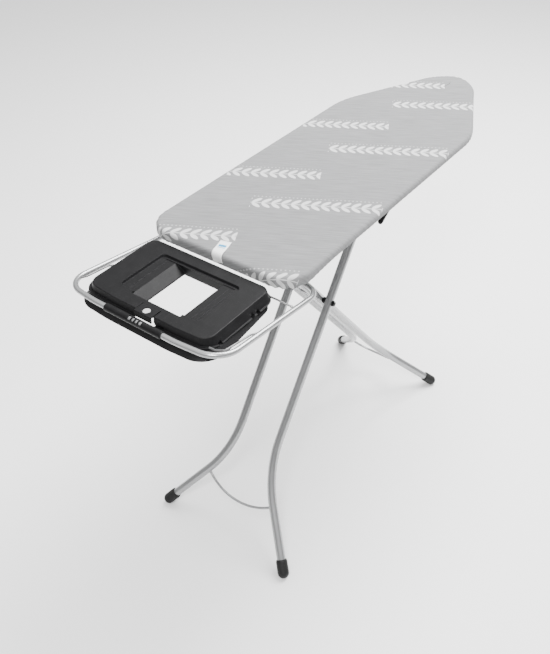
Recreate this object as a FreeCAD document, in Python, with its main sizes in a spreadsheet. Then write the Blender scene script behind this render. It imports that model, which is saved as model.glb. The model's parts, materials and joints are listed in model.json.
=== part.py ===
import FreeCAD, Part
import Sketcher
import math
import os

# Folding ironing board with a steam unit tray. Row frame: +X to the nose, +Y left, +Z up,
# origin on the floor under the middle of the bounding box. Millimetres.

V = FreeCAD.Vector
doc = FreeCAD.newDocument("IroningBoard")
sheet = doc.addObject("Spreadsheet::Sheet", "Sizes")

SIZES = {
    "deck_height": 995, "deck_width": 450, "nose_shift": 479,
    "corner_radius": 72, "side_end": 816, "blend_radius": 250, "taper_angle": 25.2,
    "ogive_radius": 153, "ogive_x": 1087.3, "ogive_y": 45.3, "tip_radius": 60,
    "cover_drop": 20, "cover_gauge": 1.5, "pad_depth": 6,
    "rim_width": 14, "rim_depth": 8.5, "rim_wall": 1.5,
    "tube_radius": 12.5, "tube_wall": 1.5, "bend_radius": 350, "bend_angle": 33,
    "foot_radius": 16.5, "pivot_drop": 50,
    "near_tilt": 54, "near_foot_x": -74, "near_half": 68,
    "far_tilt": 52, "far_foot_x": 860, "far_half": 37.5,
    "foot_straight": 150, "axle_radius": 4, "bar_radius": 8, "pin_radius": 5, "running_gap": 0.05,
    "rivet_radius": 2.4, "flange_gauge": 2.5,
    "brace_radius": 3.8, "brace_sweep": 200, "brace_rise": 110.5, "cap_length": 31,
    "loop_radius": 6.5, "loop_wall": 1.2, "loop_pitch": 8, "loop_rear_x": 101, "loop_rear_z": 75.2,
    "loop_length": 355, "loop_bow": 11, "loop_left": 223, "loop_right": 232,
    "loop_front_bend": 60, "loop_rear_bend": 45,
    "tray_top": 24, "tray_front": 222, "tray_rear": 10, "tray_left": 183, "tray_right": 171,
    "tray_depth": 18, "tray_flange": 3, "tray_wall": 3,
    "base_top": 45.5, "base_depth": 13, "base_front": 240, "base_side": 190,
    "recess_front": 187, "recess_rear": 43, "recess_left": 120, "recess_right": 116,
    "recess_depth": 5.5, "window_front": 195, "window_rear": 51, "window_left": 48,
    "window_right": 72, "window_ramp": 74, "window_low": 51,
    "lever_x": 480, "lever_drop": 46, "lever_radius": 3, "rack_gauge": 5,
    "rail_start": 566, "rail_end": 950, "rail_half": 100, "rail_slot": 22, "rail_wall": 2,
}
for row, (name, value) in enumerate(SIZES.items(), 1):
    sheet.set("A%d" % row, name)
    sheet.set("B%d" % row, str(value))
    sheet.setAlias("B%d" % row, name)
doc.recompute()


def size(name):
    return float(getattr(sheet, name))


def bind(obj, prop, text):
    obj.setExpression(prop, text)


def at(x, y, z):
    """A point given from the blunt end of the deck and down from its top, in the row frame."""
    return V(x - size("nose_shift"), y, size("deck_height") + z)


def place(obj, base, rotation=None):
    obj.Placement = FreeCAD.Placement(base, rotation or FreeCAD.Rotation())


parts = []


def keep(obj, name):
    obj.Label = name
    parts.append(obj)
    return obj


def feature(name, shape):
    """A sub-part made with Part functions from the sizes in the sheet."""
    obj = doc.addObject("Part::Feature", name)
    obj.Shape = shape.removeSplitter()
    return keep(obj, name)


# ---------------------------------------------------------------- shape helpers

def polar(cx, cy, radius, degrees):
    a = math.radians(degrees)
    return V(cx + radius * math.cos(a), cy + radius * math.sin(a), 0)


def arc(cx, cy, radius, a0, a1):
    middle = polar(cx, cy, radius, (a0 + a1) / 2)
    return Part.Arc(polar(cx, cy, radius, a0), middle, polar(cx, cy, radius, a1)).toShape()


def line(p, q):
    return Part.makeLine(p, q)


def deck_wire(inset):
    """The deck's outline moved inwards, as tangent arcs and lines."""
    half = size("deck_width") / 2
    rc = size("corner_radius")
    rb = size("blend_radius")
    ro = size("ogive_radius")
    a_taper = 90 - size("taper_angle")
    ox, oy = size("ogive_x"), -size("ogive_y")
    tx = ox + math.sqrt((ro - size("tip_radius")) ** 2 - oy ** 2)
    a_tip = math.degrees(math.atan2(-oy, tx - ox))
    upper = [
        arc(rc, half - rc, rc - inset, 180, 90),
        arc(size("side_end"), half - rb, rb - inset, 90, a_taper),
        arc(ox, oy, ro - inset, a_taper, a_tip),
    ]
    edges = []
    for curve in upper:
        if edges:
            edges.append(line(edges[-1].Vertexes[-1].Point, curve.Vertexes[0].Point))
        edges.append(curve)
    mirrored = [e.mirror(V(0, 0, 0), V(0, 1, 0)) for e in edges]
    start = polar(rc, half - rc, rc - inset, 180)
    end = line(start, V(start.x, -start.y, 0))
    tip = arc(tx, 0, size("tip_radius") - inset, a_tip, -a_tip)
    return Part.Wire(Part.__sortEdges__(edges + mirrored + [end, tip]))


def deck_slab(inset, z_top, z_low):
    face = Part.Face(deck_wire(inset))
    solid = face.extrude(V(0, 0, z_top - z_low))
    solid.translate(at(0, 0, z_low))
    return solid


def box(x0, x1, y0, y1, z0, z1):
    solid = Part.makeBox(x1 - x0, y1 - y0, z1 - z0)
    solid.translate(at(x0, y0, z0))
    return solid


def rod(p, q, radius):
    along = q - p
    return Part.makeCylinder(radius, along.Length, p, along)


def filleted(points, bend, closed=False):
    """A line through the points with a round bend at each inner one."""
    n = len(points)
    corners = range(n) if closed else range(1, n - 1)
    cuts = {}
    for i in corners:
        p, q, r = points[i - 1], points[i], points[(i + 1) % n]
        a = (p - q).normalize()
        b = (r - q).normalize()
        radius = bend[i] if isinstance(bend, dict) else bend
        half = math.acos(max(-1, min(1, a.dot(b)))) / 2
        reach = radius / math.tan(half)
        middle = q + (a + b).normalize() * (radius / math.sin(half) - radius)
        cuts[i] = (q + a * reach, middle, q + b * reach)
    edges = []
    for i in corners:
        edges.append(Part.Arc(*cuts[i]).toShape())
    order = list(corners)
    for i, j in zip(order, order[1:] + ([order[0]] if closed else [])):
        edges.append(line(cuts[i][2], cuts[j][0]))
    if not closed:
        edges.append(line(points[0], cuts[order[0]][0]))
        edges.append(line(cuts[order[-1]][2], points[-1]))
    return Part.Wire(Part.__sortEdges__(edges))


def wire_solid(points, bend, radius, closed=False):
    return pipe(filleted(points, bend, closed), radius)


def pipe(path, radius):
    """A round rod along a path."""
    first = path.Edges[0]
    start = first.valueAt(first.FirstParameter)
    along = first.tangentAt(first.FirstParameter)
    circle = Part.Wire(Part.makeCircle(radius, start, along))
    return path.makePipeShell([circle], True, True)


def plan(front, rear, left, right, bow, front_bend, rear_bend, z, taper=0):
    """An outline seen from above: a front edge bowed at two soft bends, four round corners, and
    a rear narrower by the taper on each side."""
    points = [V(-rear, left - taper, 0), V(-front, left, 0), V(-front - bow, 90, 0),
              V(-front - bow, -90, 0), V(-front, -right, 0), V(-rear, taper - right, 0)]
    bends = {0: rear_bend, 1: front_bend, 2: 300, 3: 300, 4: front_bend, 5: rear_bend}
    outline = filleted(points, bends, True)
    outline.translate(at(0, 0, z))
    return outline


def loft(low, high):
    return Part.makeLoft([low, high], True, True)


# ---------------------------------------------------------------- deck

def build_deck():
    drop = size("cover_drop")
    gauge = size("cover_gauge")
    deep = gauge + size("pad_depth")
    cover = deck_slab(0, 0, -drop).cut(deck_slab(gauge, -gauge, -drop - 1))
    feature("cover", cover)
    feature("pad", deck_slab(gauge + 0.4, -gauge - 0.3, -deep))
    mesh_low = -deep - 1.1
    mesh = deck_slab(gauge + 1.2, -deep - 0.3, mesh_low)
    holes = []
    for i in range(17):
        for j in range(-4, 5):
            x = 90 + 62 * i + 31 * (j % 2)
            y = 42 * j
            if x > 900 and abs(y) > 165 - 0.45 * (x - 900):
                continue
            slot = Part.makeBox(36, 20, 10)
            slot.translate(at(x - 18, y - 10, mesh_low - 4))
            holes.append(slot)
    feature("deck_mesh", mesh.cut(Part.makeCompound(holes)))
    rim_top = mesh_low - 0.1
    rim_low = rim_top - size("rim_depth")
    wall = size("rim_wall")
    outer = gauge + 1.5
    inner = outer + size("rim_width")
    rim = deck_slab(outer, rim_top, rim_low).cut(deck_slab(inner, rim_top + 1, rim_low - 1))
    groove = deck_slab(outer + wall, rim_top - wall, rim_low - 1)
    groove = groove.cut(deck_slab(inner - wall, rim_top + 1, rim_low - 2))
    feature("deck_rim", rim.cut(groove))
    return rim_top, rim_low


RIVET_SPOTS = {"cross_member_rear": 68, "cross_member_middle": 112, "cross_member_front": 112}


def build_rivet(name, x, y, rim_low):
    """A domed rivet from under a flange up through the cross member's floor."""
    r = size("rivet_radius")
    low = at(x, y, rim_low - size("flange_gauge"))
    top = at(x, y, rim_low + 2.1)
    ball = Part.makeSphere(5, low + V(0, 0, 2.7))
    dome = ball.common(Part.makeCylinder(6, 3, low - V(0, 0, 3)))
    rivet = dome.fuse([rod(low, top, r), rod(top, top + V(0, 0, 1.4), r + 1.6)])
    feature(name, rivet)


def build_cross_members(rim_top, rim_low):
    half = size("deck_width") / 2 - size("cover_gauge") - 1.5 - size("rim_width") - 0.3
    wide = 44
    for name, x in (("cross_member_rear", 115), ("cross_member_lever", size("lever_x")),
                    ("cross_member_middle", 600), ("cross_member_front", 900)):
        reach = half if x < 850 else 181
        obj = doc.addObject("Part::Box", name + "_outer")
        obj.Length = wide
        obj.Width = 2 * reach
        obj.Height = rim_top - rim_low - 0.2
        place(obj, at(x - wide / 2, -reach, rim_low + 0.1))
        groove = doc.addObject("Part::Box", name + "_inner")
        groove.Length = wide - 4
        groove.Width = 2 * reach
        groove.Height = rim_top - rim_low
        place(groove, at(x - wide / 2 + 2, -reach, rim_low + 2.1))
        tools = [groove]
        for tag, side in (("left", 1), ("right", -1)):
            if name not in RIVET_SPOTS:
                continue
            y = side * RIVET_SPOTS[name]
            hole = doc.addObject("Part::Cylinder", "%s_hole_%s" % (name, tag))
            hole.Radius = size("rivet_radius") + 0.05
            hole.Height = 12
            place(hole, at(x, y, rim_low - 4))
            tools.append(hole)
            build_rivet(name.replace("cross_member", "rivet") + "_" + tag, x, y, rim_low)
        cut = doc.addObject("Part::Cut", name)
        cut.Base = obj
        if len(tools) > 1:
            cut.Tool = doc.addObject("Part::MultiFuse", name + "_tools")
            cut.Tool.Shapes = tools
        else:
            cut.Tool = groove
        keep(cut, name)


# ---------------------------------------------------------------- leg frames

def leg_lengths(tilt):
    rise = size("deck_height") - size("pivot_drop") - size("foot_radius")
    return rise / math.sin(math.radians(tilt))


def leg_frame(side_name):
    """Foot, direction up the slope and half width of one pair of legs."""
    tilt = size(side_name + "_tilt")
    foot_x = size(side_name + "_foot_x")
    sign = 1 if side_name == "near" else -1
    foot = at(foot_x, 0, size("foot_radius") - size("deck_height"))
    up = V(sign * math.cos(math.radians(tilt)), 0, math.sin(math.radians(tilt)))
    return foot, up, leg_lengths(tilt), size(side_name + "_half")


def crossing():
    """Distances up both slopes to the point where the two frames cross."""
    near, far = math.radians(size("near_tilt")), math.radians(size("far_tilt"))
    gap = size("far_foot_x") - size("near_foot_x")
    ratio = math.sin(near) / math.sin(far)
    s = gap / (math.cos(near) + ratio * math.cos(far))
    return s, s * ratio


def leg_body(name, frame, side, beyond, holes):
    """One leg: a bent tube drawn flat in its own plane, then laid on the slope."""
    foot, up, length, half = leg_frame(frame)
    body = doc.addObject("PartDesign::Body", name)
    planes = {o.Role: o for o in body.Origin.OriginFeatures}
    spine = body.newObject("Sketcher::SketchObject", name + "_spine")
    spine.AttachmentSupport = [(planes["XY_Plane"], "")]
    spine.MapMode = "FlatFace"
    turn = math.radians(size("bend_angle"))
    radius = size("bend_radius")
    straight = size("foot_straight")
    x1 = length + beyond - straight - radius * math.sin(turn)
    bend_x = x1 + radius * math.sin(turn)
    bend_y = side * radius * (1 - math.cos(turn))
    run = straight - size("foot_radius") * 0.2
    end = V(bend_x + run, bend_y + side * run * math.tan(turn), 0)
    middle = V(x1 + radius * math.sin(turn / 2), side * radius * (1 - math.cos(turn / 2)), 0)
    spine.addGeometry(Part.LineSegment(V(0, 0, 0), V(x1, 0, 0)))
    spine.addGeometry(Part.Arc(V(x1, 0, 0), middle, V(bend_x, bend_y, 0)))
    spine.addGeometry(Part.LineSegment(V(bend_x, bend_y, 0), end))
    profile = body.newObject("Sketcher::SketchObject", name + "_section")
    profile.AttachmentSupport = [(planes["YZ_Plane"], "")]
    profile.MapMode = "FlatFace"
    tube_r = size("tube_radius")
    for i, shrink in enumerate((0, size("tube_wall"))):
        profile.addGeometry(Part.Circle(V(0, 0, 0), V(0, 0, 1), tube_r - shrink))
        profile.addConstraint(Sketcher.Constraint("Coincident", i, 3, -1, 1))
        profile.addConstraint(Sketcher.Constraint("Radius", i, tube_r - shrink))
    bind(profile, "Constraints[1]", "Sizes.tube_radius")
    bind(profile, "Constraints[3]", "Sizes.tube_radius - Sizes.tube_wall")
    pipe = body.newObject("PartDesign::AdditivePipe", name + "_tube")
    pipe.Profile = profile
    pipe.Spine = (spine, ["Edge1", "Edge2", "Edge3"])
    doc.recompute()
    drill = body.newObject("Sketcher::SketchObject", name + "_drill")
    drill.AttachmentSupport = [(planes["XZ_Plane"], "")]
    drill.MapMode = "FlatFace"
    for i, (where, hole_r) in enumerate(holes):
        drill.addGeometry(Part.Circle(V(where, 0, 0), V(0, 0, 1), hole_r))
        drill.addConstraint(Sketcher.Constraint("Radius", i, hole_r))
    pocket = body.newObject("PartDesign::Pocket", name + "_holes")
    pocket.Profile = drill
    pocket.Type = 1
    pocket.Midplane = True
    body.Tip = pocket
    top = foot + up * (length + beyond) + V(0, side * half, 0)
    rotation = FreeCAD.Rotation(up * -1, V(0, 1, 0), V(0, 0, 0), "XYZ")
    place(body, top, rotation)
    return keep(body, name)


def near_brace_path(foot, up):
    """An arc from one near leg to the other, dipping in the middle."""
    sweep, reach = size("brace_sweep"), 128
    middle = foot + up * size("brace_rise")
    end = middle + up * (sweep - math.sqrt(sweep ** 2 - reach ** 2))
    return Part.Wire(Part.Arc(end + V(0, reach, 0), middle, end - V(0, reach, 0)).toShape())


def far_brace_path(foot, up):
    """A rod from one far leg to the other with a level middle, bent softly at each corner."""
    left = [foot + up * s + V(0, y, 0) for s, y in ((152, 98), (99, 74), (86, 40))]
    right = [V(p.x, -p.y, p.z) for p in reversed(left)]
    return filleted(left + right, 24)


def build_leg_frame(frame, holes, cross_bar_half):
    foot, up, length, half = leg_frame(frame)
    beyond = 15
    turn = math.radians(size("bend_angle"))
    out = size("bend_radius") * (1 - math.cos(turn)) + size("foot_straight") * math.tan(turn)
    for side, tag in ((1, "left"), (-1, "right")):
        leg_body("%s_leg_%s" % (frame, tag), frame, side, beyond, holes)
        centre = foot + V(0, side * (half + out), 0)
        along = up * math.cos(turn) + V(0, -side * math.sin(turn), 0)
        build_cap("%s_foot_%s" % (frame, tag), centre, along)
        top = foot + up * (length + beyond) + V(0, side * half, 0)
        plug = rod(top + up * 0.2, top + up * 3, size("tube_radius"))
        neck = rod(top - up * 12, top + up * 0.5, size("tube_radius") - size("tube_wall") - 0.1)
        bolt = rod(foot + up * length + V(0, -150, 0), foot + up * length + V(0, 150, 0), 9)
        feature("%s_plug_%s" % (frame, tag), plug.fuse(neck.cut(bolt)))


def build_cap(name, centre, along):
    """A rubber foot: a hollow sleeve over the tube's end with a round nose."""
    radius = size("foot_radius")
    ball = Part.makeSphere(radius, centre)
    sleeve = rod(centre, centre + along * size("cap_length"), radius)
    rim = Part.makeCone(radius, radius - 2, 5, centre + along * size("cap_length"), along)
    core = rod(centre + along * 2, centre + along * (size("cap_length") + 20),
               size("tube_radius") + 0.1)
    feature(name, ball.fuse([sleeve, rim]).cut(core))


def build_frames():
    s_cross, t_cross = crossing()
    gap = size("running_gap")
    near_len, far_len = leg_lengths(size("near_tilt")), leg_lengths(size("far_tilt"))
    axle_hole = size("axle_radius") + gap
    bar_hole = size("bar_radius") + gap
    pin_hole = size("pin_radius") + gap
    build_leg_frame("near", [(15, bar_hole), (near_len + 15 - s_cross, axle_hole)], 0)
    build_leg_frame("far", [(15, pin_hole), (far_len + 15 - t_cross, axle_hole)], 0)

    foot, up, length, half = leg_frame("near")
    top = foot + up * length
    reach = V(0, half + 15, 0)
    bar = doc.addObject("Part::Cylinder", "near_top_bar")
    bind(bar, "Radius", "Sizes.bar_radius")
    bind(bar, "Height", "2 * Sizes.near_half + 30")
    place(bar, top - reach, FreeCAD.Rotation(V(1, 0, 0), -90))
    keep(bar, "near_top_bar")
    for side, tag in ((1, "left"), (-1, "right")):
        inner = top + V(0, side * (half + 13.2), 0)
        outer = top + V(0, side * (size("rail_half") - 1.2), 0)
        glide = rod(inner, outer, 8.7).cut(rod(top, top + V(0, side * (half + 15.2), 0),
                                               size("bar_radius") + 0.05))
        feature("near_glide_%s" % tag, glide)

    cross = foot + up * s_cross
    far_half = size("far_half")
    tube_r = size("tube_radius")
    axle = doc.addObject("Part::Cylinder", "cross_axle")
    bind(axle, "Radius", "Sizes.axle_radius")
    bind(axle, "Height", "2 * (Sizes.near_half + Sizes.tube_radius + 5)")
    place(axle, cross - V(0, half + tube_r + 5, 0), FreeCAD.Rotation(V(1, 0, 0), -90))
    keep(axle, "cross_axle")
    for side, tag in ((1, "left"), (-1, "right")):
        tube = rod(foot + V(0, side * half, 0), foot + up * length + V(0, side * half, 0),
                   tube_r + 0.2)
        inner = cross + V(0, side * (far_half + tube_r + 0.5), 0)
        outer = cross + V(0, side * (half - 2), 0)
        bush = rod(inner, outer, 9.5).cut(tube)
        feature("cross_bush_%s" % tag, bush.cut(rod(inner - V(0, side, 0), outer, axle_hole)))
        face = cross + V(0, side * (half + tube_r + 0.1), 0)
        cap = rod(face, face + V(0, side * 2, 0), 8.5)
        cap = cap.fuse(rod(face, face + V(0, side * 7, 0), 6.2))
        cap = cap.cut(rod(cross, cross + V(0, side * (half + tube_r + 5.1), 0), axle_hole))
        feature("cross_nut_%s" % tag, cap)

    far_foot, far_up, far_length, far_half = leg_frame("far")
    pivot = far_foot + far_up * far_length
    pin = doc.addObject("Part::Cylinder", "hinge_pin")
    bind(pin, "Radius", "Sizes.pin_radius")
    pin.Height = 2 * (far_half + tube_r + 14)
    place(pin, pivot - V(0, far_half + tube_r + 14, 0), FreeCAD.Rotation(V(1, 0, 0), -90))
    keep(pin, "hinge_pin")

    for frame, path in (("near", near_brace_path), ("far", far_brace_path)):
        foot, up, length, half = leg_frame(frame)
        brace = pipe(path(foot, up), size("brace_radius"))
        for side in (1, -1):
            turn = math.radians(size("bend_angle"))
            out = size("bend_radius") * (1 - math.cos(turn))
            start = foot + up * size("foot_straight") + V(0, side * (half + out), 0)
            away = V(0, side * math.sin(turn), 0) - up * math.cos(turn)
            tube = rod(start - away * 60, start + away * 170, tube_r + 0.1)
            brace = brace.cut(tube)
        solids = sorted(brace.Solids, key=lambda solid: -solid.Volume)
        feature("%s_brace" % frame, solids[0])


def build_hinge_bracket(rim_low):
    foot, up, length, half = leg_frame("far")
    pivot = foot + up * length
    hole = size("pin_radius") + size("running_gap")
    inner = half + size("tube_radius") + 2
    for side, tag in ((1, "left"), (-1, "right")):
        y0, y1 = sorted((side * inner, side * (inner + 4)))
        x = pivot.x + size("nose_shift")
        ear = box(x - 20, x + 16, y0, y1, -size("pivot_drop") - 12, rim_low)
        y0, y1 = sorted((side * inner, side * (inner + 30)))
        flange = size("flange_gauge")
        ear = ear.fuse(box(x - 42, x + 2, y0, y1, rim_low - flange, rim_low))
        hole_y = side * RIVET_SPOTS["cross_member_rear"]
        ear = ear.cut(rod(at(115, hole_y, rim_low - 9), at(115, hole_y, rim_low + 1),
                          size("rivet_radius") + 0.05))
        drill = rod(V(pivot.x, side * (inner - 2), pivot.z), V(pivot.x, side * (inner + 8), pivot.z),
                    hole)
        feature("hinge_bracket_%s" % tag, ear.cut(drill))


def build_slide_rails(rim_low):
    half = size("rail_half")
    wall = size("rail_wall")
    mid = -size("pivot_drop")
    slot = size("rail_slot") / 2
    x0, x1 = size("rail_start"), size("rail_end")
    for side, tag in ((1, "left"), (-1, "right")):
        def bar(ya, yb, za, zb, xa=x0, xb=x1):
            low, high = sorted((side * ya, side * yb))
            return box(xa, xb, low, high, za, zb)
        rail = bar(half, half + wall, mid - slot - wall, rim_low)
        rail = rail.fuse(bar(half - 14, half + wall, mid + slot, mid + slot + wall))
        rail = rail.fuse(bar(half - 14, half + wall, mid - slot - wall, mid - slot))
        rail = rail.fuse(bar(half - 14, half + wall, mid - slot, mid + slot, x0, x0 + wall))
        rail = rail.fuse(bar(half - 14, half + wall, mid - slot, mid + slot, x1 - wall, x1))
        for x in (600, 900):
            spot = RIVET_SPOTS["cross_member_middle"]
            rail = rail.fuse(bar(half, spot + 10, rim_low - size("flange_gauge"), rim_low,
                                 x - 14, x + 14))
            y = side * spot
            rail = rail.cut(rod(at(x, y, rim_low - 9), at(x, y, rim_low + 1),
                                size("rivet_radius") + 0.05))
        feature("slide_rail_%s" % tag, rail)


# ---------------------------------------------------------------- height lever

def build_lever(rim_low):
    x = size("lever_x")
    z = -size("lever_drop")
    r = size("lever_radius")
    foot, up, length, half = leg_frame("near")
    bar_x = (foot + up * length).x + size("nose_shift")
    points = [at(x, 18, z), at(x, -188, z), at(x - 84, -208, z - 3)]
    feature("lever_rod", wire_solid(points, 14, r))
    a, b = points[1], points[2]
    along = (b - a).normalize()
    grip = rod(a + along * 26, b + along * 3, 6.5)
    grip = grip.fuse(Part.makeSphere(6.5, b + along * 3))
    feature("lever_grip", grip.cut(rod(a + along * 10, b + along * 0.1, r + 0.05)))

    low, high = -76, -60
    outline = [(x - 14, -38), (x + 92, -40), (x + 92, high), (bar_x - 10, high)]
    notches = [bar_x, bar_x + 50, bar_x + 96, bar_x + 138, bar_x + 176]
    for i, spot in enumerate(notches):
        deep = high - 8 if i == 0 else high - 5
        outline += [(spot - 10, high), (spot - 10, deep), (spot + 10, deep), (spot + 10, high)]
    outline += [(bar_x + 198, high), (bar_x + 198, low), (x + 74, low), (x + 58, -62), (x - 14, -62)]
    clean = []
    for p in outline:
        if not clean or p != clean[-1]:
            clean.append(p)
    gauge = size("rack_gauge")
    wire = Part.makePolygon([at(px, -gauge / 2, pz) for px, pz in clean + clean[:1]])
    plate = Part.Face(wire).extrude(V(0, gauge, 0))
    plate = plate.cut(rod(at(x, -gauge, z), at(x, gauge, z), r + 0.05))
    feature("lever_rack", plate)

    for tag, y in (("inner", -22), ("outer", -150)):
        ear = box(x - 12, x + 12, y - 2, y + 2, z - 8, rim_low)
        ear = ear.fuse(box(x - 12, x + 12, y - 20, y + 2, rim_low - 2, rim_low))
        feature("lever_bearing_%s" % tag, ear.cut(rod(at(x, y - 5, z), at(x, y + 5, z), r + 0.05)))

    coil_r, wire_r = r + 2.0, 0.9
    helix = Part.makeHelix(2.4, 12, coil_r)
    circle = Part.Wire(Part.makeCircle(wire_r, V(coil_r, 0, 0), V(0, 1, 0)))
    coil = Part.Wire(helix.Edges).makePipeShell([circle], True, True)
    coil.rotate(V(0, 0, 0), V(1, 0, 0), -90)
    coil.translate(at(x, -18, z))
    feature("lever_spring", coil)


# ---------------------------------------------------------------- steam unit holder

def loop_point(u, v, lift=0):
    """A point on the holder's plane: u from its rear bar towards the front, v to the left."""
    pitch = math.radians(size("loop_pitch"))
    rear = at(size("loop_rear_x"), 0, -size("loop_rear_z"))
    along = V(-math.cos(pitch), 0, math.sin(pitch))
    normal = V(math.sin(pitch), 0, math.cos(pitch))
    return rear + along * u + V(0, v, 0) + normal * lift


def loop_corners():
    """The holder's line: rear bar, two sides and a front bar bowed at two soft bends."""
    length = size("loop_length")
    bow = length + size("loop_bow")
    left, right = size("loop_left"), size("loop_right")
    corners = [loop_point(0, left), loop_point(length, left), loop_point(bow, 120),
               loop_point(bow, -120), loop_point(length, -right), loop_point(0, 4 - right)]
    front, rear = size("loop_front_bend"), size("loop_rear_bend")
    return corners, {0: rear, 1: front, 2: 260, 3: 260, 4: front, 5: rear}


def build_loop(rim_low):
    r = size("loop_radius")
    corners, bends = loop_corners()
    core = wire_solid(corners, bends, r - size("loop_wall"), True)
    feature("holder_loop", wire_solid(corners, bends, r, True).cut(core))

    front = loop_point(size("loop_length") + size("loop_bow"), 0)
    grip = rod(front + V(0, -83, 0), front + V(0, 80, 0), r + 2.6)
    for y in (-83, 80):
        grip = grip.fuse(rod(front + V(0, y - 2, 0), front + V(0, y + 2, 0), r + 1.8))
    hollow = rod(front + V(0, -90, 0), front + V(0, 90, 0), r + 0.1)
    window = Part.makeBox(12, 40, 12)
    window.translate(front + V(-8, -29, 3.5))
    grip = grip.cut(hollow.fuse(window))
    for y in (-19, -9, 1):
        rib = rod(front + V(0, y - 1.5, 0), front + V(0, y + 1.5, 0), r + 2.6).cut(hollow)
        grip = grip.fuse(rib)
    feature("holder_grip", grip)

    rear_x = size("loop_rear_x")
    for side, tag in ((1, "left"), (-1, "right")):
        y0, y1 = sorted((side * 140, side * 165))
        clamp = box(rear_x - 11, rear_x + 11, y0, y1, -size("loop_rear_z") - 10, rim_low)
        clamp = clamp.makeFillet(2.5, [e for e in clamp.Edges if abs(e.tangentAt(0).y) > 0.9])
        hollow = rod(loop_point(0, -200), loop_point(0, 200), r + 0.05)
        feature("holder_clamp_%s" % tag, clamp.cut(hollow))


def tray_plan(side, front, rear, inset, z):
    """The tray's outline grown by its own amount on each side, then moved in by the inset."""
    return plan(size("tray_front") + front - inset, size("tray_rear") - rear + inset,
                size("tray_left") + side - inset, size("tray_right") + side - inset,
                6, 28 + side - inset, 22 + side - inset, z)


def base_plan(grow, z):
    outer = size("base_side") + grow
    return plan(size("base_front") + grow, size("tray_rear") + 12 - grow / 2, outer, outer, 8,
                44 + grow, 26 + grow, z, 22)


def prism(x0, x1, section):
    """A solid drawn by its section in Y and Z and carried along X."""
    corners = [at(x0, y, z) for y, z in section]
    face = Part.Face(Part.makePolygon(corners + corners[:1]))
    return face.extrude(V(x1 - x0, 0, 0))


def recess_solid(floor, top):
    """The sunk seat of the tray: a rounded rectangle with a soft draft."""
    front, rear = size("recess_front"), size("recess_rear")
    left, right = size("recess_left"), size("recess_right")
    low = plan(front - 3, rear + 3, left - 3, right - 3, 0.01, 10, 10, floor)
    return loft(low, plan(front, rear, left, right, 0.01, 13, 13, top))


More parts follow.
